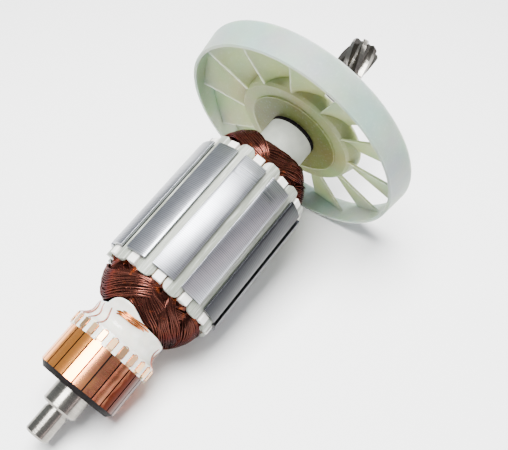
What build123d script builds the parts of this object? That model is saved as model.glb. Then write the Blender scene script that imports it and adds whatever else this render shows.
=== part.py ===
from build123d import *
import math
import os

# Armature of a hand tool's motor: a shaft with a helical pinion, a plastic sleeve that insulates it,
# a slotted steel stack with twelve coils, a hook commutator, resin over the leads, and a moulded fan.
# It lies on its side as it comes to rest, on the commutator's front edge and the fan's near rim.
# All lengths are in millimetres. Stations run along the shaft from the stack's front face, which is
# the face on the commutator's side. Angles are in degrees round the shaft.

# Slotted stack
stack_radius = 21.5
stack_length = 45.0
slot_count = 12
slot_phase = 5.9
slot_bottom_radius = 12.0
slot_opening = 2.9
tooth_neck = 3.6
tooth_lip = 0.9
tooth_shoulder = 1.2

# Shaft
shaft_radius = 6.0
tip_journal_radius = 4.0
tip_journal_length = 9.5
seat_length = 8.4
journal_undercut = 0.3
journal_undercut_length = 0.9
shaft_chamfer = 0.6
bearing_collar_radius = 7.2
bearing_collar_length = 3.0
drive_journal_length = 12.0
relief_radius = 4.7
relief_length = 4.6

# Helical pinion cut on the shaft's end
pinion_teeth = 7
pinion_radius = 5.9
pinion_root_radius = 3.9
pinion_length = 18.0
pinion_lead = 94.0
pinion_phase = 43.4
pinion_chamfer = 0.7
tip_width_share = 0.34
root_width_share = 0.74

# Insulating sleeve between shaft, stack and fan
sleeve_radius = 8.8

# Commutator
bar_count = 24
bar_radius = 14.0
bar_root_radius = 10.8
bar_length = 13.0
bar_slit = 0.45
bar_undercut = 0.8
bar_chamfer = 0.3
bar_phase = 12.9
riser_length = 3.9
commutator_gap = 22.6
hook_width = 1.7
hook_thickness = 0.7
hook_lift = 0.35
hook_length = 3.15
hook_inset = 0.7
hook_slot = 2.3
core_flange = 1.6
core_flange_step = 0.3
core_recess = 0.5
bush_wall = 1.5

# Resin over the leads, between the hooks and the coils
resin_neck_radius = 11.0
resin_collar_radius = 11.9
resin_throat_radius = 12.6
resin_land = 0.75
resin_back = 0.5

# End insulators, slot liners and slot wedges
insulator_thickness = 3.0
insulator_arm = 3.3
insulator_setback = 1.2
liner_wall = 0.3
liner_overhang = 2.4
wedge_thickness = 0.55
wedge_crown = 0.8
wedge_overhang = 3.8
wedge_end_radius = 2.2

# Coils, wound in pairs on opposite sides of the shaft, each pair further out than the last
coil_pitch_slots = 5
layer_count = 6
coil_overhang = 16.0
coil_band_radius = 10.6
coil_band_width = 2.9
coil_gap = 0.15
leg_inner_start = 14.8
leg_inner_end = 13.1
leg_outer_setback = 0.15
leg_outer_end = 14.6
leg_spread = 0.6

# Fan, moulded in one piece on a knurled insert
fan_gap = 22.7
fan_width = 10.0
fan_near_radius = 42.3
fan_far_radius = 43.7
fan_rim_wall = 1.2
fan_vanes = 12
vane_wall = 0.9
vane_camber = 0.5
vane_lead_phase = 4.6
vane_trail_phase = 28.0
vane_lead_setback = 4.0
vane_trail_setback = 0.7
hub_radius = 22.8
hub_rear_radius = 24.6
hub_wall = 1.8
hub_setback = 3.9
boss_radius = 17.4
boss_step = 0.6
boss_rear_radius = 12.0
hub_rear_inset = 0.6
hub_ribs = 6
hub_rib_wall = 1.3
insert_show = 1.4
insert_teeth = 40
insert_knurl = 0.45
insert_tail = 2.4

# Clearance between pieces that are laid in, and the overrun of all cuts
lay_gap = 0.05
cut_overrun = 1.0

# Stations along the shaft
riser_rear = -commutator_gap
riser_front = riser_rear - riser_length
bar_front = riser_front - bar_length
journal_shoulder = bar_front - seat_length
shaft_tip = journal_shoulder - tip_journal_length
fan_front = stack_length + fan_gap
fan_rear = fan_front + fan_width
hub_front = fan_front + hub_setback
boss_front = hub_front - boss_step
insert_front = boss_front - insert_show
insert_rear = fan_rear + insert_tail
collar_rear = insert_rear + bearing_collar_length
drive_journal_rear = collar_rear + drive_journal_length
pinion_front = drive_journal_rear + relief_length
pinion_tip = pinion_front + pinion_length

# The shaft leans so that the bars' front edge and the fan's near rim both touch the floor at height 0
contact_station = bar_front + bar_chamfer
lean = math.atan2(fan_near_radius - bar_radius, fan_front - contact_station)
axis_height = bar_radius * math.cos(lean) - contact_station * math.sin(lean)
tip_reach = shaft_tip * math.cos(lean) - (tip_journal_radius - shaft_chamfer) * math.sin(lean)
drive_reach = pinion_tip * math.cos(lean) + (pinion_radius - pinion_chamfer) * math.sin(lean)
shaft_frame = Plane(
    origin=(-(tip_reach + drive_reach) / 2, 0, axis_height),
    x_dir=(0, 1, 0),
    z_dir=(math.cos(lean), 0, math.sin(lean)),
)

slot_pitch = 360 / slot_count
half_slot_angle = math.radians(slot_pitch / 2)
tooth_phase = slot_phase + slot_pitch / 2
shoulder_radius = stack_radius - tooth_lip - tooth_shoulder
lip_radius = stack_radius - tooth_lip
insulator_reach = stack_radius - insulator_setback


def turned(angle):
    """The shaft's frame, turned round the shaft by an angle."""
    spoke = shaft_frame.x_dir * math.cos(math.radians(angle)) + shaft_frame.y_dir * math.sin(math.radians(angle))
    return Plane(origin=shaft_frame.origin, x_dir=spoke, z_dir=shaft_frame.z_dir)


def at(station, angle=0):
    """Plane across the shaft at a station, turned round the shaft by an angle."""
    return turned(angle).offset(station)


def along(angle=0):
    """Plane that holds the shaft's axis: its X runs out along a radius, its Y along the shaft."""
    return Plane(origin=shaft_frame.origin, x_dir=turned(angle).x_dir, z_dir=-turned(angle).y_dir)


def slot_wall(distance, inset=0):
    """Half the slot's width at a distance from the shaft's axis, less an inset from the tooth's side."""
    return distance * math.tan(half_slot_angle) - (tooth_neck / 2 + inset) / math.cos(half_slot_angle)


def polar(radius, angle):
    """Point at a radius and an angle in degrees."""
    return (radius * math.cos(math.radians(angle)), radius * math.sin(math.radians(angle)))


def finish(piece, label):
    """Label a finished piece and write it."""
    piece.part.label = label
    export_step(piece.part, f"parts/{label}.step")


os.makedirs("parts", exist_ok=True)

# Shaft: ground journals, a collar for the drive bearing, and the pinion on its end
tooth_pitch = 360 / pinion_teeth
tip_angle = tooth_pitch * tip_width_share
root_angle = tooth_pitch * root_width_share
pinion_twist = -360 * pinion_length / pinion_lead
with BuildPart() as shaft:
    with BuildSketch(along()) as shaft_profile:
        with BuildLine():
            Polyline(
                (0, shaft_tip),
                (tip_journal_radius - shaft_chamfer, shaft_tip),
                (tip_journal_radius, shaft_tip + shaft_chamfer),
                (tip_journal_radius, journal_shoulder - journal_undercut_length),
                (tip_journal_radius - journal_undercut, journal_shoulder - journal_undercut_length),
                (tip_journal_radius - journal_undercut, journal_shoulder),
                (shaft_radius - shaft_chamfer, journal_shoulder),
                (shaft_radius, journal_shoulder + shaft_chamfer),
                (shaft_radius, insert_rear),
                (bearing_collar_radius, insert_rear),
                (bearing_collar_radius, collar_rear),
                (shaft_radius, collar_rear),
                (shaft_radius, drive_journal_rear - shaft_chamfer),
                (shaft_radius - shaft_chamfer, drive_journal_rear),
                (relief_radius, drive_journal_rear),
                (relief_radius, pinion_front),
                (0, pinion_front),
                close=True,
            )
        make_face()
    revolve(axis=Axis(shaft_frame.origin, shaft_frame.z_dir))
    pinion_steps = 6
    for step in range(pinion_steps + 1):
        turn = pinion_phase - pinion_twist + pinion_twist * step / pinion_steps
        with BuildSketch(at(pinion_front + pinion_length * step / pinion_steps, turn)):
            Circle(pinion_root_radius)
            with PolarLocations(0, pinion_teeth):
                Polygon(
                    polar(pinion_root_radius / 2, -root_angle / 2),
                    polar(pinion_root_radius, -root_angle / 2),
                    polar(pinion_radius, -tip_angle / 2),
                    polar(pinion_radius, tip_angle / 2),
                    polar(pinion_root_radius, root_angle / 2),
                    polar(pinion_root_radius / 2, root_angle / 2),
                    align=None,
                )
    loft(ruled=True)
    with BuildSketch(along()) as pinion_bevel:
        with BuildLine():
            Polyline(
                (pinion_radius - pinion_chamfer, pinion_tip),
                (pinion_radius + cut_overrun, pinion_tip - pinion_chamfer - cut_overrun),
                (pinion_radius + cut_overrun, pinion_tip),
                close=True,
            )
        make_face()
    revolve(axis=Axis(shaft_frame.origin, shaft_frame.z_dir), mode=Mode.SUBTRACT)
finish(shaft, "shaft")

# Sleeve: insulates the shaft from the resin to the fan
with BuildPart() as insulating_sleeve:
    with BuildSketch(at(riser_rear)):
        Circle(sleeve_radius)
        Circle(shaft_radius, mode=Mode.SUBTRACT)
    extrude(amount=insert_front - riser_rear)
finish(insulating_sleeve, "insulating_sleeve")

# Stack: laminations with twelve half-closed slots, pressed on the sleeve
slot_half = [
    (slot_bottom_radius, slot_wall(slot_bottom_radius)),
    (shoulder_radius, slot_wall(shoulder_radius)),
    (lip_radius, slot_opening / 2),
    (stack_radius + cut_overrun, slot_opening / 2),
]
slot_outline = slot_half + [(x, -y) for x, y in reversed(slot_half)]
with BuildPart() as lamination_stack:
    with BuildSketch(at(0)):
        Circle(stack_radius)
        Circle(sleeve_radius, mode=Mode.SUBTRACT)
        with PolarLocations(0, slot_count, start_angle=slot_phase):
            Polygon(*slot_outline, align=None, mode=Mode.SUBTRACT)
    extrude(amount=stack_length)
finish(lamination_stack, "lamination_stack")

# End insulators: a star on each face of the stack, one arm over each tooth's neck
arm_start = slot_bottom_radius - insulator_arm / 2
for label, station in (("front_end_insulator", -insulator_thickness), ("rear_end_insulator", stack_length)):
    with BuildPart() as end_insulator:
        with BuildSketch(at(station)):
            Circle(slot_bottom_radius)
            with PolarLocations((arm_start + insulator_reach) / 2, slot_count, start_angle=tooth_phase):
                Rectangle(insulator_reach - arm_start, insulator_arm)
            Circle(sleeve_radius, mode=Mode.SUBTRACT)
        extrude(amount=insulator_thickness)
    finish(end_insulator, label)

# Slot liners: a folded sheet in each slot, standing out at both ends
liner_top = shoulder_radius - wedge_thickness
liner_bottom = slot_bottom_radius + lay_gap
with BuildPart() as slot_liners:
    with BuildSketch(at(-liner_overhang)):
        with PolarLocations(0, slot_count, start_angle=slot_phase):
            Polygon(
                (liner_bottom, slot_wall(liner_bottom, lay_gap)),
                (liner_top, slot_wall(liner_top, lay_gap)),
                (liner_top, -slot_wall(liner_top, lay_gap)),
                (liner_bottom, -slot_wall(liner_bottom, lay_gap)),
                align=None,
            )
            Polygon(
                (liner_bottom + liner_wall, slot_wall(liner_bottom + liner_wall, liner_wall + lay_gap)),
                (liner_top + cut_overrun, slot_wall(liner_top + cut_overrun, liner_wall + lay_gap)),
                (liner_top + cut_overrun, -slot_wall(liner_top + cut_overrun, liner_wall + lay_gap)),
                (liner_bottom + liner_wall, -slot_wall(liner_bottom + liner_wall, liner_wall + lay_gap)),
                align=None,
                mode=Mode.SUBTRACT,
            )
    extrude(amount=stack_length + 2 * liner_overhang)
finish(slot_liners, "slot_liners")

# Slot wedges: crowned strips that close the slots under the tooth lips, with rounded tongues outside
wedge_side = slot_wall(shoulder_radius, liner_wall)
wedge_mouth = slot_opening / 2 - lay_gap
wedge_length = stack_length + 2 * wedge_overhang
wedge_rounding = min(wedge_end_radius, wedge_side - lay_gap)
for index in range(slot_count):
    wedge_angle = slot_phase + slot_pitch * index
    with BuildPart() as slot_wedge:
        with BuildSketch(at(-wedge_overhang, wedge_angle)):
            Polygon(
                (liner_top + lay_gap, wedge_side),
                (shoulder_radius + lay_gap, wedge_side),
                (shoulder_radius + wedge_crown, wedge_mouth),
                (shoulder_radius + wedge_crown, -wedge_mouth),
                (shoulder_radius + lay_gap, -wedge_side),
                (liner_top + lay_gap, -wedge_side),
                align=None,
            )
        extrude(amount=wedge_length)
        middle = at(stack_length / 2, wedge_angle)
        with BuildSketch(Plane(origin=middle.origin, x_dir=middle.z_dir, z_dir=middle.x_dir)):
            RectangleRounded(wedge_length, 2 * wedge_side, wedge_rounding)
        extrude(amount=stack_radius, mode=Mode.INTERSECT)
    finish(slot_wedge, f"slot_wedge_{index + 1:02d}")

# Coils: two legs in slots five apart, joined at both ends by a band that passes round the sleeve
layer_depth = (coil_overhang - insulator_thickness) / layer_count
leg_bottom = liner_bottom + liner_wall + lay_gap
leg_top = liner_top - lay_gap
leg_outer_start = liner_top - leg_outer_setback
leg_inset = liner_wall + 2 * lay_gap


def slot_leg(plane, side):
    """Section of a leg in the slot: one half of the room inside the liner."""
    with BuildSketch(plane) as section:
        Polygon(
            (leg_bottom, side * lay_gap),
            (leg_top, side * lay_gap),
            (leg_top, side * slot_wall(leg_top, leg_inset)),
            (leg_bottom, side * slot_wall(leg_bottom, leg_inset)),
            align=None,
        )
    return section.sketch


def leg_radii(distance):
    """Inner and outer radius of the legs outside the stack, at a distance from its face."""
    share = (distance - insulator_thickness) / (coil_overhang - insulator_thickness)
    inner = leg_inner_start + (leg_inner_end - leg_inner_start) * share
    outer = leg_outer_start + (leg_outer_end - leg_outer_start) * share
    return inner, outer


def free_leg(plane, side, distance):
    """Section of a leg outside the stack."""
    inner, outer = leg_radii(distance)
    spread = leg_spread * (distance - insulator_thickness) / (coil_overhang - insulator_thickness)
    with BuildSketch(plane) as section:
        Polygon(
            (inner, side * lay_gap),
            (outer, side * lay_gap),
            (outer, side * (slot_wall(outer, leg_inset) + spread)),
            (inner, side * (slot_wall(inner, leg_inset) + spread)),
            align=None,
        )
    return section.sketch


for index in range(slot_count):
    layer = index % layer_count
    first_angle = slot_phase + slot_pitch * index
    second_angle = first_angle + slot_pitch * coil_pitch_slots
    band_far = insulator_thickness + layer_depth * (layer + 1) - coil_gap
    band_near = insulator_thickness + layer_depth * layer
    start_radius = sum(leg_radii((band_near + band_far) / 2)) / 2
    arm_angle = math.degrees(math.acos(coil_band_radius / start_radius))
    band_start = math.degrees((coil_band_width / 2 + lay_gap) / start_radius)
    band_end = second_angle - first_angle - band_start
    with BuildPart() as coil:
        for angle, side in ((first_angle, 1), (second_angle, -1)):
            extrude(slot_leg(at(0, angle), side), amount=stack_length)
        for face, outward in ((0, -1), (stack_length, 1)):
            for angle, side in ((first_angle, 1), (second_angle, -1)):
                gathered = at(face + outward * insulator_thickness, angle)
                outermost = at(face + outward * band_far, angle)
                loft([slot_leg(at(face, angle), side), free_leg(gathered, side, insulator_thickness)], ruled=True)
                loft([free_leg(gathered, side, insulator_thickness), free_leg(outermost, side, band_far)], ruled=True)
            with BuildSketch(at(face + outward * (band_near + band_far) / 2, first_angle)):
                with BuildLine():
                    Line(polar(start_radius, band_start), polar(coil_band_radius, band_start + arm_angle))
                    CenterArc(
                        (0, 0),
                        coil_band_radius,
                        band_start + arm_angle,
                        band_end - band_start - 2 * arm_angle,
                    )
                    Line(polar(coil_band_radius, band_end - arm_angle), polar(start_radius, band_end))
                trace(line_width=coil_band_width)
            extrude(amount=(band_far - band_near) / 2, both=True)
    finish(coil, f"coil_{index + 1:02d}")

# Commutator core: black moulding with a rib in each slit and a bevelled front flange
core_radius = shaft_radius + bush_wall
rib_top = bar_radius - bar_undercut
with BuildPart() as commutator_core:
    with BuildSketch(at(bar_front)):
        Circle(bar_root_radius)
        with PolarLocations((bar_root_radius + rib_top) / 2, bar_count, start_angle=bar_phase + 180 / bar_count):
            Rectangle(rib_top - bar_root_radius + bar_undercut, bar_slit - lay_gap)
        Circle(core_radius, mode=Mode.SUBTRACT)
    extrude(amount=riser_rear - bar_front)
    with BuildSketch(along()):
        with BuildLine():
            Polyline(
                (core_radius, bar_front),
                (bar_radius - core_flange_step, bar_front),
                (bar_radius - core_flange_step - core_flange, bar_front - core_flange),
                (core_radius + core_flange, bar_front - core_flange),
                (core_radius + core_flange, bar_front - core_flange + core_recess),
                (core_radius, bar_front - core_flange + core_recess),
                close=True,
            )
        make_face()
    revolve(axis=Axis(shaft_frame.origin, shaft_frame.z_dir))
finish(commutator_core, "commutator_core")

# Steel bush that the moulding grips, pressed on the shaft
with BuildPart() as commutator_bush:
    with BuildSketch(at(bar_front - core_flange + core_recess)):
        Circle(core_radius)
        Circle(shaft_radius, mode=Mode.SUBTRACT)
    extrude(amount=riser_rear - bar_front + core_flange - core_recess)
finish(commutator_bush, "commutator_bush")

# Commutator bars: a wedge of copper, a riser behind the brush track, and a hook bent over the leads
slit_angle = math.degrees(bar_slit / bar_radius)
bar_half_angle = 180 / bar_count - slit_angle / 2
hook_top = bar_radius + hook_lift + hook_thickness
hook_front = riser_front + hook_inset
for index in range(bar_count):
    bar_angle = bar_phase + 360 / bar_count * index
    with BuildPart() as commutator_bar:
        with BuildSketch(at(bar_front, bar_angle)):
            with BuildLine():
                CenterArc((0, 0), bar_radius, -bar_half_angle, 2 * bar_half_angle)
                Line(polar(bar_radius, bar_half_angle), (bar_root_radius, bar_slit))
                Line((bar_root_radius, bar_slit), (bar_root_radius, -bar_slit))
                Line((bar_root_radius, -bar_slit), polar(bar_radius, -bar_half_angle))
            make_face()
        extrude(amount=riser_rear - bar_front)
        with BuildSketch(along(bar_angle)):
            with BuildLine():
                Polyline(
                    (bar_radius - bar_chamfer, bar_front - bar_chamfer),
                    (bar_radius + bar_chamfer, bar_front + bar_chamfer),
                    (bar_radius + bar_chamfer, bar_front - bar_chamfer),
                    close=True,
                )
            make_face()
        extrude(amount=bar_radius, both=True, mode=Mode.SUBTRACT)
        with BuildSketch(along(bar_angle)) as hook_profile:
            with BuildLine():
                Polyline(
                    (bar_radius - hook_thickness, hook_front),
                    (hook_top, hook_front),
                    (hook_top, hook_front + hook_length),
                    (hook_top - hook_thickness, hook_front + hook_length),
                    (hook_top - hook_thickness, hook_front + hook_thickness),
                    (bar_radius - hook_thickness, hook_front + hook_thickness),
                    close=True,
                )
            make_face()
        extrude(amount=hook_width / 2, both=True)
    finish(commutator_bar, f"commutator_bar_{index + 1:02d}")

# Resin neck: covers the leads between coils and commutator, with lands between the hooks
neck_front = -coil_overhang - coil_gap
throat = riser_rear + 2 * resin_back
with BuildPart() as lead_resin:
    with BuildSketch(along()):
        with BuildLine():
            Line((sleeve_radius, neck_front), (resin_collar_radius, neck_front))
            ThreePointArc(
                (resin_collar_radius, neck_front),
                (resin_neck_radius, (neck_front + throat) / 2),
                (resin_throat_radius, throat),
            )
            Polyline(
                (resin_throat_radius, throat),
                (bar_radius + resin_land, riser_rear + resin_back),
                (bar_radius + resin_land, riser_front),
                (bar_radius + lay_gap, riser_front),
                (bar_radius + lay_gap, riser_rear + lay_gap),
                (sleeve_radius, riser_rear + lay_gap),
                (sleeve_radius, neck_front),
            )
        make_face()
    revolve(axis=Axis(shaft_frame.origin, shaft_frame.z_dir))
    with BuildSketch(at(riser_rear)):
        with PolarLocations(bar_radius + resin_land, bar_count, start_angle=bar_phase):
            Rectangle(2 * resin_land, hook_slot)
    extrude(amount=riser_front - riser_rear - cut_overrun, mode=Mode.SUBTRACT)
finish(lead_resin, "lead_resin")

# Knurled insert that the fan is moulded on; its front end shows between sleeve and fan
with BuildPart() as fan_insert:
    with BuildSketch(at(insert_front)):
        Circle(sleeve_radius)
        with PolarLocations(sleeve_radius, insert_teeth):
            Polygon(
                (cut_overrun, insert_knurl + cut_overrun),
                (-insert_knurl, 0),
                (cut_overrun, -insert_knurl - cut_overrun),
                align=None,
                mode=Mode.SUBTRACT,
            )
        Circle(shaft_radius, mode=Mode.SUBTRACT)
    extrude(amount=insert_rear - insert_front)
finish(fan_insert, "fan_insert")

# Fan: a cup-shaped hub, twelve raked vanes and a flared rim, in one moulding
vane_lead = fan_front + vane_lead_setback
vane_trail = fan_rear - vane_trail_setback
vane_middle = (vane_lead + vane_trail) / 2
vane_middle_phase = (vane_lead_phase + vane_trail_phase) / 2
half_rake = math.radians((vane_trail_phase - vane_lead_phase) / 2)
with BuildPart() as fan:
    for index in range(fan_vanes):
        spoke = turned(vane_middle_phase + 360 / fan_vanes * index)
        for radius in (hub_radius - hub_wall / 2, fan_far_radius):
            reach = radius * math.tan(half_rake)
            root = spoke.origin + spoke.x_dir * radius
            with BuildSketch(Plane(origin=root, x_dir=spoke.z_dir, z_dir=spoke.x_dir)):
                with BuildLine():
                    ThreePointArc(
                        (vane_lead, reach),
                        (vane_middle - vane_wall / 2 + vane_camber, 0),
                        (vane_trail - vane_wall, -reach),
                    )
                    Line((vane_trail - vane_wall, -reach), (vane_trail, -reach))
                    ThreePointArc(
                        (vane_trail, -reach),
                        (vane_middle + vane_wall / 2 + vane_camber, 0),
                        (vane_lead + vane_wall, reach),
                    )
                    Line((vane_lead + vane_wall, reach), (vane_lead, reach))
                make_face()
        loft()
    with BuildSketch(along()):
        with BuildLine():
            Polyline(
                (0, fan_front - cut_overrun),
                (fan_near_radius - fan_rim_wall / 2, fan_front - cut_overrun),
                (fan_near_radius - fan_rim_wall / 2, fan_front),
                (fan_far_radius - fan_rim_wall / 2, fan_rear),
                (0, fan_rear),
                close=True,
            )
        make_face()
    revolve(axis=Axis(shaft_frame.origin, shaft_frame.z_dir), mode=Mode.INTERSECT)
    with BuildSketch(along()):
        with BuildLine():
            Polyline(
                (fan_near_radius - fan_rim_wall, fan_front),
                (fan_near_radius, fan_front),
                (fan_far_radius, fan_rear),
                (fan_far_radius - fan_rim_wall, fan_rear),
                close=True,
            )
        make_face()
        with BuildLine():
            Polyline(
                (sleeve_radius, boss_front),
                (boss_radius, boss_front),
                (boss_radius, hub_front),
                (hub_radius - hub_wall / 2, hub_front),
                (hub_radius, hub_front + hub_wall / 2),
                (hub_rear_radius, fan_rear - hub_rear_inset),
                (hub_rear_radius - hub_wall, fan_rear - hub_rear_inset),
                (hub_radius - hub_wall, hub_front + hub_wall),
                (boss_rear_radius, hub_front + hub_wall),
                (boss_rear_radius, fan_rear),
                (sleeve_radius, fan_rear),
                close=True,
            )
        make_face()
    revolve(axis=Axis(shaft_frame.origin, shaft_frame.z_dir))
    rib_start = boss_rear_radius - hub_rib_wall
    rib_end = hub_radius - hub_wall / 2
    with BuildSketch(at(hub_front + hub_wall / 2)):
        with PolarLocations((rib_start + rib_end) / 2, hub_ribs, start_angle=vane_lead_phase):
            Rectangle(rib_end - rib_start, hub_rib_wall)
    extrude(amount=fan_rear - hub_front - hub_wall)
finish(fan, "fan")
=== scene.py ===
# %% [markdown]
# Motor armature. An armature is the part of a hand tool's motor that turns: a shaft with a slotted
# steel stack, coils of enamelled wire, a copper commutator, a plastic fan and a small helical gear.
# The solids come from CAD, and this lesson dresses them: it keeps the hard pieces, gives each one the
# finish that its making leaves, and builds anew what CAD can only stand in for, such as wire.

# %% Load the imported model
import math
import random

import bpy
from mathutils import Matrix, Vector, noise


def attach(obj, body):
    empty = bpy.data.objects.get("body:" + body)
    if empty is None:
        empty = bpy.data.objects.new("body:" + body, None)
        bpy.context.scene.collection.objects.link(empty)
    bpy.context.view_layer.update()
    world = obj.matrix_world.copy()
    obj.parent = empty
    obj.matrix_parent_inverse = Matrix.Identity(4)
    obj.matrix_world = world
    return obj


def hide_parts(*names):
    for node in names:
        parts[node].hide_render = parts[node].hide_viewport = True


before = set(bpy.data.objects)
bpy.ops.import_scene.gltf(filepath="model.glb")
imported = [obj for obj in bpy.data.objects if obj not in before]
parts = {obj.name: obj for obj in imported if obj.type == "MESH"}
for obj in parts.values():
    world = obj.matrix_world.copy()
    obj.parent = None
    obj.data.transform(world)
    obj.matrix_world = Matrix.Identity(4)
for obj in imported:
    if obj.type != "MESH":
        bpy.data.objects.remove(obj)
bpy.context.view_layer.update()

print("pieces loaded:", len(parts))

# %% [markdown]
# The armature lies on its side, so its shaft leans. Every round thing on it is easiest to place by a
# station along the shaft, a radius and an angle round it, all in millimetres and degrees. Station 0 is
# the stack's front face. The lean and the height follow from the two circles that touch the floor.

# %% Find points round the leaning shaft
mm = 0.001
stack_length = 45.0
bar_radius = 14.0
bar_contact_station = -39.2
fan_near_radius = 42.3
fan_front_station = 67.7
axis_x = -29.376
lean = math.atan2(fan_near_radius - bar_radius, fan_front_station - bar_contact_station)
axis_z = bar_radius * math.cos(lean) - bar_contact_station * math.sin(lean)


def place(station, radius=0.0, angle=0.0):
    """A point in metres, from a station and a radius in millimetres and an angle in degrees."""
    across = radius * math.cos(math.radians(angle))
    rise = radius * math.sin(math.radians(angle))
    x = axis_x + station * math.cos(lean) - rise * math.sin(lean)
    z = axis_z + station * math.sin(lean) + rise * math.cos(lean)
    return Vector((x * mm, across * mm, z * mm))


print("lean in degrees:", round(math.degrees(lean), 2), "axis height in mm:", round(axis_z, 2))

# %% [markdown]
# The camera comes first, because every later choice is judged through it. It looks down on the
# armature from the commutator's side, as in the photograph, with a lens of 48 mm on a 36 mm frame.

# %% Set the camera
camera = bpy.data.objects.new("camera", bpy.data.cameras.new("camera"))
bpy.context.scene.collection.objects.link(camera)
camera.data.sensor_width = 36.0
camera.data.lens = 47.78
camera.data.clip_start = 0.005
camera.data.clip_end = 50.0
camera.location = Vector((-113.18, -104.5, 196.13)) * mm
view_direction = Vector((0.52662, 0.42161, -0.73823))
camera.rotation_euler = view_direction.to_track_quat("-Z", "Y").to_euler()
bpy.context.scene.camera = camera
print("camera at", [round(c, 3) for c in camera.location])

# %% [markdown]
# Materials, floor and surround are all made from shader nodes. A few short functions keep them
# readable: one adds any node, and the others are the things that are needed most, which are a blend of
# two colours, a ramp from one value to another, plain arithmetic, and a band round a middle.

# %% Add shader nodes, with their settings and links
def linear(code):
    """Linear RGB, with alpha, from an sRGB hex code such as #a8a6a0."""
    channels = [int(code[i:i + 2], 16) / 255 for i in (1, 3, 5)]
    return [c / 12.92 if c <= 0.04045 else ((c + 0.055) / 1.055) ** 2.4 for c in channels] + [1.0]


def feed(node, inputs):
    """Feed a node's inputs. Each is a plain value, or another node's output to link from."""
    for name, value in inputs.items():
        if isinstance(value, bpy.types.NodeSocket):
            node.id_data.links.new(value, node.inputs[name])
        else:
            node.inputs[name].default_value = value


def add(tree, kind, inputs=None, **settings):
    """Add a node of that kind, with those settings and inputs."""
    node = tree.nodes.new("ShaderNode" + kind)
    for name, value in settings.items():
        setattr(node, name, value)
    feed(node, inputs or {})
    return node


def blend(tree, factor, low, high, **settings):
    """Blend two colours, each an sRGB hex code or another node's output."""
    low, high = [linear(colour) if isinstance(colour, str) else colour for colour in (low, high)]
    mix = add(tree, "Mix", {0: factor, 6: low, 7: high}, data_type="RGBA", **settings)
    return mix.outputs[2]


def ramp(tree, value, start, end, low=0.0, high=1.0):
    """Go from low to high while the value goes from start to end, and hold still on either side."""
    limits = {"From Min": start, "From Max": end, "To Min": low, "To Max": high}
    return add(tree, "MapRange", {"Value": value, **limits}).outputs[0]


def reckon(tree, operation, *values):
    """Plain arithmetic on values, each a number or another node's output."""
    return add(tree, "Math", dict(enumerate(values)), operation=operation).outputs[0]


def near(tree, value, middle, inner, outer, level=1.0):
    """That level within an inner distance of a middle, and nothing past an outer one."""
    distance = reckon(tree, "ABSOLUTE", reckon(tree, "SUBTRACT", value, middle))
    return ramp(tree, distance, inner, outer, level, 0.0)


print("white in linear light:", linear("#ffffff"))

# %% [markdown]
# A small studio: a wide white floor, one broad lamp overhead, a narrow one low on the near side, and an
# even surround. The broad lamp draws the long white band on the stack and on the copper, and the narrow
# one a thin streak beside it. The surround is pale near the horizon and darker above, so that round
# metal has both light and dark to reflect. The floor is forty metres wide, so that its far edge stays
# at the horizon in a low view.

# %% Lay the floor
half = 20.0
corners = [(-half, -half, 0), (half, -half, 0), (half, half, 0), (-half, half, 0)]
floor_mesh = bpy.data.meshes.new("floor")
floor_mesh.from_pydata(corners, [], [(0, 1, 2, 3)])
floor = bpy.data.objects.new("floor", floor_mesh)
bpy.context.scene.collection.objects.link(floor)
paper = bpy.data.materials.new("floor_white_paper")
paper.use_nodes = True
paper.node_tree.nodes.clear()
sheet = add(paper.node_tree, "BsdfDiffuse", {"Color": linear("#fbfbfa")})
add(paper.node_tree, "OutputMaterial", {"Surface": sheet.outputs[0]})
floor_mesh.materials.append(paper)
print("floor", 2 * half, "m wide")

# %% Light the studio
world = bpy.data.worlds.new("studio")
bpy.context.scene.world = world
world.use_nodes = True
sky = world.node_tree
sky.nodes.clear()
direction = add(sky, "SeparateXYZ", {0: add(sky, "TexCoord").outputs["Generated"]})
side = ramp(sky, direction.outputs[1], -0.8, 0.8)
rise = ramp(sky, direction.outputs[2], 0.02, 0.9)
horizon = blend(sky, side, "#e2d9e0", "#d5dce2")
surround = blend(sky, rise, horizon, "#aeb3b7")
glow = add(sky, "Background", {"Color": surround, "Strength": 1.0})
add(sky, "OutputWorld", {"Surface": glow.outputs[0]})


def lamp(name, power, width, depth, position, target, colour="#ffffff"):
    """A lamp of that width and depth that shines from its position to a target, in millimetres."""
    light = bpy.data.lights.new(name, "AREA")
    light.shape = "RECTANGLE"
    light.energy = power
    light.color = linear(colour)[:3]
    light.size = width * mm
    light.size_y = depth * mm
    holder = bpy.data.objects.new(name, light)
    holder.location = Vector(position) * mm
    aim = (Vector(target) - Vector(position)).to_track_quat("-Z", "Y")
    holder.rotation_euler = aim.to_euler()
    bpy.context.scene.collection.objects.link(holder)
    print("lamp", name, power, "W")


lamp("overhead", 18.5, 330, 450, (-40, 0, 600), (0, 0, 20))
lamp("low_strip", 0.35, 700, 40, (0, -560, 150), (0, 0, 30), "#ffe6e6")

# %% [markdown]
# Most finishes here run along or round the shaft: turning marks, stacked sheets, the colour of the
# fan. So each material reads its pattern in the shaft's own directions. Object coordinates are turned
# and shifted until X is the station in millimetres, and Y and Z run across the shaft.

# %% Give materials the shaft's own directions
foot_x = axis_x * math.cos(lean) + axis_z * math.sin(lean)
foot_z = axis_z * math.cos(lean) - axis_x * math.sin(lean)


def shaft_space(tree, stretch=(1.0, 1.0, 1.0)):
    """Coordinates in millimetres along the shaft (X) and across it (Y, Z), each times its stretch."""
    where = add(tree, "TexCoord")
    turned = add(tree, "Mapping", {
        "Vector": where.outputs["Object"],
        "Scale": (1 / mm, 1 / mm, 1 / mm),
        "Rotation": (0.0, lean, 0.0),
        "Location": (-foot_x, 0.0, -foot_z),
    })
    return add(tree, "Mapping", {"Vector": turned.outputs[0], "Scale": stretch}).outputs[0]


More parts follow.
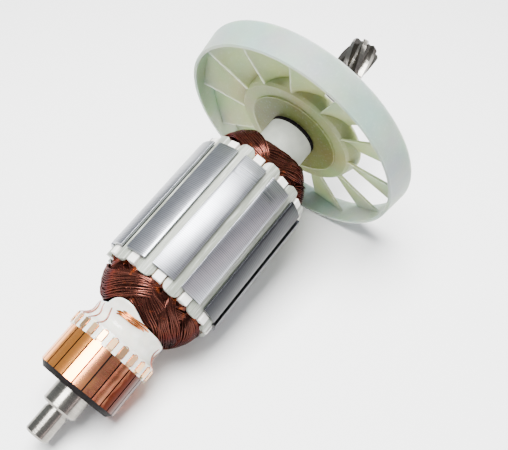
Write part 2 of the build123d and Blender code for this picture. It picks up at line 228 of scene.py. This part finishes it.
def shaft_spot(tree):
    """The station, and the two places across the shaft, as three outputs in millimetres."""
    return add(tree, "SeparateXYZ", {0: shaft_space(tree)}).outputs


def pattern(tree, stretch, detail):
    """A noise pattern in the shaft's directions, with about that many lumps to the millimetre."""
    if not isinstance(stretch, tuple):
        stretch = (stretch, stretch, stretch)
    where = shaft_space(tree, stretch)
    return add(tree, "TexNoise", {"Vector": where, "Scale": 1.0, "Detail": detail})


print("shaft space starts at", round(foot_x, 2), round(foot_z, 2), "mm")

# %% [markdown]
# Each material starts from its constants, set on the shader, and patterns are then linked over them.
# A height pattern tilts the shading, for relief too fine to build. Some CAD pieces also get their sharp
# edges rounded off, with modifiers that leave the mesh itself alone.

# %% Start a material, emboss it, and put it on pieces
def start(name, base, metallic, roughness):
    """A new material with those constants, its node tree and its main shader."""
    material = bpy.data.materials.new(name)
    material.use_nodes = True
    shader = material.node_tree.nodes["Principled BSDF"]
    feed(shader, {"Base Color": linear(base), "Metallic": metallic, "Roughness": roughness})
    return material, material.node_tree, shader


def emboss(tree, shader, height, strength, depth):
    """Let a height pattern tilt the shading, as relief of that depth in millimetres."""
    settings = {"Height": height, "Strength": strength, "Distance": depth * mm}
    feed(shader, {"Normal": add(tree, "Bump", settings).outputs[0]})


def dress(material, *names):
    """Give a material to CAD nodes by name, in all their material slots."""
    for name in names:
        mesh = parts[name].data
        mesh.materials.clear()
        mesh.materials.append(material)
    print(material.name, "on", len(names), "pieces")


def round_off(width, *names):
    """Round the sharp edges of CAD pieces by a width in millimetres."""
    for name in names:
        join = parts[name].modifiers.new("join", "WELD")
        join.merge_threshold = 0.002 * mm
        bevel = parts[name].modifiers.new("edges", "BEVEL")
        bevel.width = width * mm
        bevel.segments = 2
        bevel.limit_method = "ANGLE"
        bevel.angle_limit = math.radians(40)
        bevel.harden_normals = True
    print("edges rounded by", width, "mm on", *names)


print("ready to dress", len(parts), "pieces")

# %% [markdown]
# The shaft is carbon steel, turned and then ground. Grinding leaves very fine rings round it, which
# spread a reflection along the shaft. Real rings are some hundredths of a millimetre apart, too fine to
# show here, so they are drawn about a third of a millimetre apart. Handling leaves duller, darker
# patches.

# %% Ground steel for the shaft and the bush
steel, tree, shader = start("carbon_steel_ground", "#8c8a86", 1.0, 0.24)
rings = pattern(tree, (3.0, 0.04, 0.04), 4.0).outputs[0]
stain = pattern(tree, 0.25, 3.0).outputs[0]
tone = blend(tree, rings, "#66625b", "#bcb8ae")
feed(shader, {
    "Base Color": blend(tree, stain, tone, "#64615d"),
    "Roughness": ramp(tree, stain, 0.0, 1.0, 0.12, 0.3),
})
emboss(tree, shader, rings, 0.25, 0.03)
dress(steel, "shaft", "commutator_bush")

# %% [markdown]
# The stack is made of steel sheets half a millimetre thick, pressed together and then turned on the
# outside. Each sheet's edge catches the light by itself, so the surface shows fine lines across the
# shaft. They are drawn every 0.6 mm, as coarse as they need to be to show. The near side is painted
# nearly black, as painted shade. A short band of scratches there marks where metal was taken off to
# balance the armature.

# %% Stacked sheet steel for the laminations
sheets, tree, shader = start("electrical_steel_turned", "#9a9da4", 1.0, 0.3)
sheet_pitch = 0.6
wave_period_at_scale_one = 0.314159
wave = {"Vector": shaft_space(tree), "Scale": wave_period_at_scale_one / sheet_pitch}
wave_node = add(tree, "TexWave", {**wave, "Distortion": 0.0}, bands_direction="X", wave_profile="SIN")
lines = wave_node.outputs[1]
grain = pattern(tree, (2.4, 0.15, 0.15), 5.0).outputs[0]
cloud = pattern(tree, (0.12, 0.2, 0.2), 3.0).outputs[0]
tone = blend(tree, lines, "#5f6167", "#adafb4")
tone_grained = blend(tree, grain, tone, "#9c9ea5")
station, across, _ = shaft_spot(tree)
# Painted shade: the near side of the stack is blended to near black.
painted_shade_stack = ramp(tree, across, -20.2, -18.9, 1.0, 0.0)
tone_painted_shade = blend(tree, painted_shade_stack, tone_grained, "#232427")
scratch = pattern(tree, (3.0, 0.1, 0.1), 5.0).outputs[0]
torn = ramp(tree, scratch, 0.46, 0.56)
along_mark = near(tree, station, 39.6, 1.2, 2.2)
across_mark = near(tree, across, -10.5, 6.2, 7.4)
mark = reckon(tree, "MULTIPLY", reckon(tree, "MULTIPLY", along_mark, across_mark), torn)
feed(shader, {
    "Base Color": blend(tree, mark, tone_painted_shade, "#6e7076"),
    "Roughness": ramp(tree, cloud, 0.0, 1.0, 0.24, 0.42),
})
mark_depth = -3.0
height = reckon(tree, "MULTIPLY_ADD", mark, mark_depth, reckon(tree, "ADD", lines, grain))
emboss(tree, shader, height, 0.3, 0.05)
dress(sheets, "lamination_stack")
round_off(0.12, "lamination_stack")

# %% [markdown]
# The sleeve, the end insulators and the slot wedges are pale insulating pieces. The sleeve is smooth
# and white. The insulators are filled with short glass fibre, which makes them duller, with a faint
# grain. The wedges are strips of fibre, greyer, with pale streaks of painted glare along them. The
# liners in the slots are folded sheet, tan at their edges.

# %% White plastic for the sleeve
white_plastic, tree, shader = start("polyamide_white_moulded", "#e4e4e0", 0.0, 0.45)
cloud = pattern(tree, 0.3, 4.0).outputs[0]
feed(shader, {"Base Color": blend(tree, cloud, "#8f938a", "#b4b7ad")})
emboss(tree, shader, cloud, 0.2, 0.1)
dress(white_plastic, "insulating_sleeve")

# %% Glass-filled plastic for the end insulators
filled_plastic, tree, shader = start("polyester_glass_filled", "#dcd9cd", 0.0, 0.45)
fleck = pattern(tree, 1.2, 5.0).outputs[0]
feed(shader, {"Base Color": blend(tree, fleck, "#d2d0c6", "#f0efea")})
emboss(tree, shader, fleck, 0.3, 0.1)
dress(filled_plastic, "front_end_insulator", "rear_end_insulator")
round_off(0.3, "front_end_insulator", "rear_end_insulator")

# %% Pale strip for the slot wedges
strip, tree, shader = start("vulcanised_fibre_pale", "#cdd0c4", 0.0, 0.3)
fibres = pattern(tree, (0.3, 2.0, 2.0), 4.0).outputs[0]
tone = blend(tree, fibres, "#6a6f63", "#91958a")
# Painted highlight: pale streaks of glare blended into the wedges' colour.
painted_glare_noise = pattern(tree, (0.1, 1.6, 1.6), 3.0).outputs[0]
painted_glare = ramp(tree, painted_glare_noise, 0.54, 0.66)
feed(shader, {"Base Color": blend(tree, painted_glare, tone, "#aaaea5")})
emboss(tree, shader, fibres, 0.3, 0.08)
dress(strip, *[f"slot_wedge_{i + 1:02d}" for i in range(12)])

# %% Tan sheet for the slot liners
sheet_liner, tree, shader = start("aramid_paper_tan", "#b58d5c", 0.0, 0.55)
fibres = pattern(tree, 1.0, 4.0).outputs[0]
feed(shader, {"Base Color": blend(tree, fibres, "#95693c", "#cfae7e")})
dress(sheet_liner, "slot_liners")

# %% [markdown]
# Each bar of the commutator is hard copper, turned round after assembly, so fine rings run across the
# bars. Warmth and brushes colour it in clouds. Over these, the tone drifts round the shaft from gold on
# the far side, through pink, to dark brown on the near side: the gold is painted highlight and the dark
# brown is painted shade, and the heat clouds make the edge between them cloudy. Behind the track, past
# station -26, the copper wasn't turned, so it is a pale gold there, and duller.

# %% Turned copper for the bars
copper, tree, shader = start("copper_turned", "#c27c50", 1.0, 0.15)
rings = pattern(tree, (2.6, 0.05, 0.05), 4.0)
heat = pattern(tree, (0.12, 0.22, 0.22), 3.0).outputs[0]
station, across, _ = shaft_spot(tree)
cloudiness = 9.0
# Painted light: gold on the far side as painted highlight, dark brown on the near side as painted
# shade.
painted_light_drift = reckon(tree, "MULTIPLY_ADD", heat, cloudiness, across)
tone_pink_and_painted_shade = blend(tree, ramp(tree, painted_light_drift, -8.8, -1.2), "#3a160b", "#ee9c76")
tone_heat_and_painted_light = blend(tree, ramp(tree, painted_light_drift, -4.0, 2.5), tone_pink_and_painted_shade, "#ffa350")
tone_ringed = blend(tree, 0.3, tone_heat_and_painted_light, rings.outputs[1], blend_type="SOFT_LIGHT")
unturned = ramp(tree, station, -26.6, -26.2)
feed(shader, {
    "Base Color": blend(tree, unturned, tone_ringed, "#dcb183"),
    "Roughness": ramp(tree, unturned, 0.0, 1.0, 0.2, 0.32),
})
emboss(tree, shader, rings.outputs[0], 0.1, 0.02)
dress(copper, *[f"commutator_bar_{i + 1:02d}" for i in range(24)])

# %% [markdown]
# The commutator's body and the fan's insert are black phenolic, moulded. Handling leaves it matt, with
# a faint grey bloom.

# %% Black mouldings
phenolic, tree, shader = start("phenolic_black_moulded", "#100d0d", 0.0, 0.55)
bloom = pattern(tree, 0.8, 5.0).outputs[0]
feed(shader, {
    "Base Color": blend(tree, bloom, "#080707", "#1f1c1c"),
    "Specular IOR Level": 0.03,
})
emboss(tree, shader, bloom, 0.3, 0.1)
dress(phenolic, "commutator_core", "fan_insert")

# %% [markdown]
# The fan is undyed polyamide, a milky plastic that lets some light through. Light wanders inside it, so
# thin edges look pale and thick places near the hub look olive. Subsurface scattering gives the glow,
# and the colour follows the radius, which stands in for the thickness. Slow clouds and a little frost
# from handling break it up.

# %% Milky polyamide for the fan
nylon, tree, shader = start("polyamide_undyed_moulded", "#cfd3bf", 0.0, 0.33)
from_axis = add(tree, "VectorMath", {0: shaft_space(tree, (0.0, 1.0, 1.0))}, operation="LENGTH")
radius = from_axis.outputs["Value"]
cloud = pattern(tree, 0.08, 3.0)
scuff = pattern(tree, 0.9, 4.0).outputs[0]
hub_tone = blend(tree, ramp(tree, radius, 16.9, 17.9), "#5f6232", "#868c60")
vane_tone = blend(tree, ramp(tree, radius, 20.0, 31.0), hub_tone, "#828d6f")
rim_tone = blend(tree, ramp(tree, radius, 35.0, 42.6), vane_tone, "#82918a")
clouded = blend(tree, 0.35, rim_tone, cloud.outputs[1], blend_type="SOFT_LIGHT")
frost = ramp(tree, scuff, 0.54, 0.72, 0.0, 0.14)
feed(shader, {
    "Base Color": blend(tree, frost, clouded, "#a9b2ad"),
    "Roughness": ramp(tree, scuff, 0.0, 1.0, 0.34, 0.52),
    "Subsurface Weight": 1.0,
    "Subsurface Radius": (1.0, 1.0, 0.8),
    "Subsurface Scale": 5.0 * mm,
    "Specular IOR Level": 0.16,
})
emboss(tree, shader, cloud.outputs[0], 0.2, 0.4)
dress(nylon, "fan")

# %% [markdown]
# Resin is dripped over the leads between the coils and the commutator, and sets glossy and off-white.
# It wets what it touches, so it has soft hollows and bulges.

# %% Set resin
resin, tree, shader = start("epoxy_dripped", "#dcdacc", 0.0, 0.12)
cloud = pattern(tree, 0.35, 4.0).outputs[0]
feed(shader, {
    "Base Color": blend(tree, cloud, "#c6c4b6", "#e8e7e0"),
    "Subsurface Weight": 0.3,
    "Subsurface Scale": 0.8 * mm,
})
emboss(tree, shader, cloud, 0.4, 0.25)
dress(resin, "lead_resin")

# %% [markdown]
# The coils are enamelled copper wire, drawn about 0.6 mm thick, a little thicker than the real wire so
# that each turn shows. The varnish is brown-red, a dark metal base under a thin clear coat. Orange
# glints are painted into its colour in random patches, most of them beside the slots, and the near side
# is darkened with painted shade. Where a wire is scraped bare it is plain orange copper, and where
# resin covers it, it looks duller and pinker.

# %% Enamelled wire
enamel, tree, shader = start("copper_wire_enamelled", "#4d1f12", 0.9, 0.22)
vary = pattern(tree, 0.5, 3.0).outputs[0]
tone = blend(tree, vary, "#2f1a15", "#76453a")
# Painted glints: orange patches in the wire's colour, more of them beside the slots.
painted_glint_noise = pattern(tree, 0.5, 2.0).outputs[0]
station, across, _ = shaft_spot(tree)
painted_glint_beside_slot = near(tree, station, stack_length / 2, 24.5, 28.5, 0.2)
painted_glint = ramp(tree, reckon(tree, "ADD", painted_glint_noise, painted_glint_beside_slot), 0.64, 0.86)
tone_painted_glints = blend(tree, painted_glint, tone, "#b85a26")
# Painted shade: the near side of the coils is blended towards near black.
painted_shade_wire = ramp(tree, across, -17.0, -5.0, 0.6, 0.0)
feed(shader, {
    "Base Color": blend(tree, painted_shade_wire, tone_painted_glints, "#1d0f0c"),
    "Specular Tint": linear("#8a5040"),
    "Coat Weight": 0.06,
    "Coat Roughness": 0.08,
})
print(enamel.name, "is ready for the coils")

# %% Bare wire
bare, tree, shader = start("copper_wire_bare", "#c8703a", 1.0, 0.25)
vary = pattern(tree, 0.8, 3.0).outputs[0]
feed(shader, {"Base Color": blend(tree, vary, "#8a3c1c", "#e79a5c")})
print(bare.name, "is ready for hook turns and bare leads")

# %% Wire under a film of resin
filmed, tree, shader = start("copper_wire_resin_coated", "#9a5c44", 0.2, 0.3)
vary = pattern(tree, 0.8, 3.0).outputs[0]
feed(shader, {"Base Color": blend(tree, vary, "#66281c", "#a8664c"), "Coat Weight": 0.6})
print(filmed.name, "is ready for the leads")

# %% [markdown]
# A coil fills half of a slot, comes out at the stack's end, turns over towards its second slot, five
# slots on, and passes round the shaft between. Six pairs of coils lie over each other and together make
# a dome. So each wire is led over that dome: its control points have an angle, a distance from the
# stack, and the dome's radius there, less its depth in the coil. Wires of one coil share the same rule,
# so that they stay one skein. Each is a NURBS curve with a round bevel.

# %% Say how the wound dome is shaped
slot_phase = 5.9
slot_pitch = 30.0
coil_reach = 150.0
# The dome's outline: distance from the stack, and radius.
dome = [
    (-3.0, 18.4), (3.4, 18.5), (5.0, 18.7), (6.9, 18.0), (9.0, 17.2),
    (11.0, 16.1), (13.4, 14.4), (15.2, 12.2), (16.3, 10.2),
]


def between(table, value):
    """Read a table of pairs at a value, in straight lines between its pairs."""
    if value <= table[0][0]:
        return table[0][1]
    for (low, low_result), (high, high_result) in zip(table, table[1:]):
        if value <= high:
            share = (value - low) / (high - low)
            return low_result + (high_result - low_result) * share
    return table[-1][1]


print("dome radius 8 mm out:", round(between(dome, 8.0), 2))

# %% [markdown]
# The next table and numbers say how the wires lie. For each layer, from the innermost: the skein's
# middle distance from the stack halfway round, half its width there, how fast its far edge leaves the
# slot (less is faster), how much slower its near edge does, the number of wires across it, and its
# depth under the dome.

# %% Say where a wire runs at a coil's end
layers = [
    (8.4, 2.4, 0.60, 0.50, 9, 3.2),
    (10.0, 2.5, 0.52, 0.50, 9, 2.6),
    (11.4, 2.6, 0.44, 0.48, 10, 2.0),
    (12.4, 2.6, 0.36, 0.44, 10, 1.4),
    (13.2, 2.2, 0.22, 0.28, 11, 0.5),
    (12.0, 3.6, 0.48, 1.00, 13, -0.1),
]
columns = 2
column_step = 0.5
turn_shares = [0.05, 0.14, 0.27, 0.45, 0.70, 1.0]

# In the slot, in millimetres: the radius of the lowest wire and how far up the last one lies, what
# tooth, liner and wire take off each side of the slot, and where a wire's track starts and comes out.
# The columns stand between a gap at the slot's middle and one at its wall, at shares of what is left.
slot_floor, slot_fill = 13.2, 5.0
slot_side = 2.35
slot_start, slot_exit = -1.5, 1.6
middle_gap, wall_gap = 0.25, 0.35
first_share, column_share = 0.35, 0.6

# Outside it: the nearest that a wire comes to the stack, the radius from which the lowest one climbs
# and how much higher the last one starts, and how soon and how roundly they reach the dome.
nearest = 2.6
climb_from, climb_spread = 15.0, 3.0
climb_rate, climb_power = 3.2, 0.7

# Two waves of noise shift the wires: a long one that a whole skein shares, and a ripple for each wire.
# Their steps are for each degree, row and coil, and their heights are in millimetres, along and across.
lie_steps, lie_along, lie_across = (0.06, 0.30, 3.7), 1.3, 0.5
ripple_steps, ripple_along, ripple_across = (0.10, 1.9, 5.1), 0.5, 0.35


def slot_half_width(radius):
    """Room for wire on one side of a slot's middle line, at a radius."""
    return radius * math.tan(math.radians(slot_pitch / 2)) - slot_side


def waver(steps, angle, row, index, column):
    """Smooth noise for a wire at an angle, between about -1 and 1."""
    return noise.noise(Vector((angle * steps[0], row * steps[1], index * steps[2] + column)))


def wire_track(layer, row, column, index):
    """Points (angle from the slot, distance from the stack, radius) from one slot to halfway round."""
    middle, half_width, leave, lag, rows, depth = layers[layer]
    high = row / (rows - 1)
    slot_radius = slot_floor + slot_fill * high
    room = slot_half_width(slot_radius) - wall_gap
    sideways = middle_gap + room * (first_share + column_share * column)
    slot_angle = math.degrees(sideways / slot_radius)
    halfway = middle + half_width * (1 - 2 * high)
    exponent = leave + lag * high
    track = [(slot_angle, slot_start, slot_radius), (slot_angle, slot_exit, slot_radius)]
    for share in turn_shares:
        angle = slot_angle + (coil_reach / 2 - slot_angle) * share
        lie = waver(lie_steps, angle, row, index, column)
        ripple = waver(ripple_steps, angle, row, index, column)
        distance = nearest + (halfway - nearest) * share ** exponent
        distance = distance + lie_along * lie + ripple_along * ripple
        on_dome = between(dome, distance) - depth - column_step * column
        on_dome = on_dome + lie_across * lie + ripple_across * ripple
        out = climb_from + climb_spread * high
        rise = min(1.0, climb_rate * share) ** climb_power
        track.append((angle, distance, out + (on_dome - out) * rise))
    return track


print("room beside a slot's middle at its floor:", round(slot_half_width(slot_floor), 2), "mm")

# %% Draw wires as curves
def draw_wires(name, tracks, material, radius, bevel_steps, curve_steps):
    """Wires along tracks of (station, radius, angle), as one curve object on the armature."""
    wires = bpy.data.curves.new(name, "CURVE")
    wires.dimensions = "3D"
    wires.bevel_depth = radius * mm
    wires.bevel_resolution = bevel_steps
    wires.resolution_u = curve_steps
    for track in tracks:
        spline = wires.splines.new("NURBS")
        spline.points.add(len(track) - 1)
        for point, spot in zip(spline.points, track):
            point.co = (*place(*spot), 1.0)
        spline.order_u = 4
        spline.use_endpoint_u = True
    wires.materials.append(material)
    piece = bpy.data.objects.new(name, wires)
    bpy.context.scene.collection.objects.link(piece)
    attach(piece, "root")
    print(name, len(tracks), "wires")
    return piece


# %% Wind the coils
# For each end of the stack: its face's station, the way out, and what the noise of a turn's two halves
# is counted from, so that they differ.
stack_ends = [(0, -1, 0, 20), (stack_length, 1, 40, 60)]
wire_radius = 0.3


def wind(index):
    """One coil: its visible turns at both ends of the stack. It returns how many there are."""
    layer = index % len(layers)
    first = slot_phase + slot_pitch * index
    rows = layers[layer][4]
    tracks = []
    for face, outward, go_seed, back_seed in stack_ends:
        for row in range(rows):
            for column in range(columns):
                go = wire_track(layer, row, column, index + go_seed)
                back = wire_track(layer, row, column, index + back_seed)
                halfway = (go[-1][0], (go[-1][1] + back[-1][1]) / 2, (go[-1][2] + back[-1][2]) / 2)
                returning = [(coil_reach - a, d, r) for a, d, r in reversed(back[:-1])]
                tracks.append([
                    (face + outward * distance, radius, first + angle)
                    for angle, distance, radius in go[:-1] + [halfway] + returning
                ])
    coil = draw_wires(f"coil_wire_{index + 1:02d}", tracks, enamel, wire_radius, 1, 3)
    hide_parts(f"coil_{index + 1:02d}")
    return len(tracks)


print("wires wound:", sum(wind(index) for index in range(12)))

# %% [markdown]
# Under the wires that show lie dozens more. A dark rounded body stands in for them, a little smaller
# than the dome, so that no daylight shows between two skeins. It is made from rings of points round the
# shaft, joined into faces, and the same helper makes the resin later.

# %% Make a skin from rings round the shaft
def skin(name, rings, material):
    """A surface through rings of points, open at both ends, riding on the armature."""
    mesh = bpy.data.meshes.new(name)
    around = len(rings[0])
    corners = [point for ring in rings for point in ring]
    faces = []
    for j in range(len(rings) - 1):
        for i in range(around):
            k = (i + 1) % around
            near_row, far_row = j * around, (j + 1) * around
            faces.append((near_row + i, near_row + k, far_row + k, far_row + i))
    mesh.from_pydata(corners, [], faces)
    mesh.polygons.foreach_set("use_smooth", [True] * len(mesh.polygons))
    mesh.materials.append(material)
    piece = bpy.data.objects.new(name, mesh)
    bpy.context.scene.collection.objects.link(piece)
    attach(piece, "root")
    print(name, len(faces), "faces")
    return piece


# %% Fill the dome under the wires
sleeve_surface = 8.9
cover_at_stack, cover_growth, cover_most = 2.0, 0.35, 3.9


def inner_radius(distance, angle, seed):
    """Radius of the inner turns at a distance from the stack and an angle."""
    cover = min(cover_most, cover_at_stack + cover_growth * distance)
    under_dome = between(dome, distance) - cover
    lump = noise.noise(Vector((distance * 0.5, angle * 0.12, seed)))
    return max(under_dome, sleeve_surface) + 0.35 * lump


for label, (face, outward, _, _) in zip(("front", "rear"), stack_ends):
    rings = []
    for step in range(15):
        distance = 0.1 + step
        rings.append([
            place(face + outward * distance, inner_radius(distance, angle, outward), angle)
            for angle in range(0, 360, 6)
        ])
    skin(f"inner_turns_{label}", rings, enamel)

# %% [markdown]
# From the hooks the leads run back to the coils, and resin is dripped over them while the armature
# turns. It runs thin at the neck, laps over the coils' edge, and piles up in one lobe where the last
# drop fell. The rings here follow that: each angle has its own end station, and noise adds the lumps.

# %% Say where the resin's surface lies
# The far end, as angle and distance from the stack, and the neck's outline, as station and radius.
resin_end = [
    (0, 15.5), (50, 15.9), (68, 15.5), (78, 14.1), (87, 12.9), (98, 12.3), (108, 12.5),
    (118, 13.5), (128, 14.4), (145, 14.8), (165, 14.8), (200, 15.3), (280, 15.6), (360, 15.5),
]
resin_neck = [
    (-22.6, 14.75), (-22.1, 14.7), (-21.7, 13.9), (-21.2, 13.1), (-20.4, 12.4), (-19.2, 11.95),
]
neck_station, neck_radius = resin_neck[-1]
lap_height, least_lap_radius = 0.45, 12.1
lump_height = 0.5


def resin_radius(station, angle):
    """Radius of the resin's surface at a station and an angle."""
    if station <= neck_station:
        return between(resin_neck, station)
    end = -between(resin_end, angle % 360)
    share = min(1.0, (station - neck_station) / (end - neck_station))
    lap = max(between(dome, -end) + lap_height, least_lap_radius)
    turn = math.radians(angle)
    lump = noise.noise(Vector((station * 0.35, math.cos(turn) * 3.2, math.sin(turn) * 3.2)))
    swell = lump_height * lump * math.sin(math.pi * min(share, 0.8))
    return neck_radius + (lap - neck_radius) * share ** 1.7 + swell


print("resin at the lobe:", round(resin_radius(-13.5, 98), 2))

# %% Drip the resin
angles = range(0, 360, 4)
spans = 11
# Past its end the resin rounds over and dives under the wires: how far on, and how far in.
dive = [(0.35, 0.25), (0.45, 0.7), (0.2, 1.6)]

rings = []
for station, _ in resin_neck[:-1]:
    rings.append([place(station, resin_radius(station, angle), angle) for angle in angles])
for step in range(spans + 1):
    ring = []
    for angle in angles:
        end = -between(resin_end, angle)
        station = neck_station + (end - neck_station) * step / spans
        ring.append(place(station, resin_radius(station, angle), angle))
    rings.append(ring)
for further, sink in dive:
    ring = []
    for angle in angles:
        end = -between(resin_end, angle)
        ring.append(place(end + further, resin_radius(end, angle) - sink, angle))
    rings.append(ring)
flow = skin("resin_flow", rings, resin)
smooth = flow.modifiers.new("smooth", "SUBSURF")
smooth.levels = 1
smooth.render_levels = 1

# %% [markdown]
# The leads lie in the resin's skin, so they are laid along its surface. Each leaves its hook and sweeps
# a little way round. On the lobe none shows but four bare wires, side by side, and so the leads there
# are skipped. Round each hook goes one turn of thinner wire, which shows as a copper edge beside it.

# %% Lay the leads in the resin
hook_phase, hook_pitch = 12.9, 15
hook_angles = [hook_phase + hook_pitch * hook for hook in range(24)]
lobe_start, lobe_end = 95, 180
lead_start, lead_length = -22.3, 6.3
dip_share = 0.6
rng = random.Random(3)
tracks = []
for hook, hook_angle in enumerate(hook_angles):
    if lobe_start < hook_angle < lobe_end:
        continue
    sweep = rng.uniform(-12, -4)
    proud = rng.uniform(-0.02, 0.12)
    track = []
    for station in (-22.3, -21.6, -20.6, -19.4, -18.2, -17.0, -16.0):
        share = (station - lead_start) / lead_length
        angle = hook_angle + sweep * share + 1.2 * math.sin(station * 1.1 + hook)
        sink = 0.6 * max(0.0, share - dip_share)
        track.append((station, resin_radius(station, angle) + proud - sink, angle))
    tracks.append(track)
draw_wires("commutator_leads", tracks, filmed, 0.28, 2, 6)

# %% Loop a turn of wire round each hook
half_turn = 3.6
hook_surface = 14.78
loop = [
    (-25.6, -half_turn), (-24.0, -half_turn), (-22.2, -half_turn), (-22.2, half_turn),
    (-24.0, half_turn), (-25.6, half_turn), (-25.6, -half_turn),
]
tracks = [
    [(station, hook_surface, hook_angle + beside) for station, beside in loop]
    for hook_angle in hook_angles
]
draw_wires("hook_turns", tracks, bare, 0.14, 2, 6)

# %% Lay the bare wires on the lobe
# For each: its first and last angle, and its station.
strands = [(92, 134, -16.5), (91, 141, -16.0), (93, 146, -15.5), (99, 140, -15.0)]
strand_lift, end_drop = 0.16, 0.55
tracks = []
for strand, (first_angle, last_angle, start_station) in enumerate(strands):
    track = []
    for step in range(7):
        angle = first_angle + (last_angle - first_angle) * step / 6
        station = start_station + 0.14 * math.sin(angle * 0.2 + 2.1 * strand) + 0.5 * step / 6
        drop = end_drop if step in (0, 6) else 0.0
        track.append((station, resin_radius(station, angle) + strand_lift - drop, angle))
    tracks.append(track)
draw_wires("bare_leads", tracks, bare, 0.3, 2, 6)
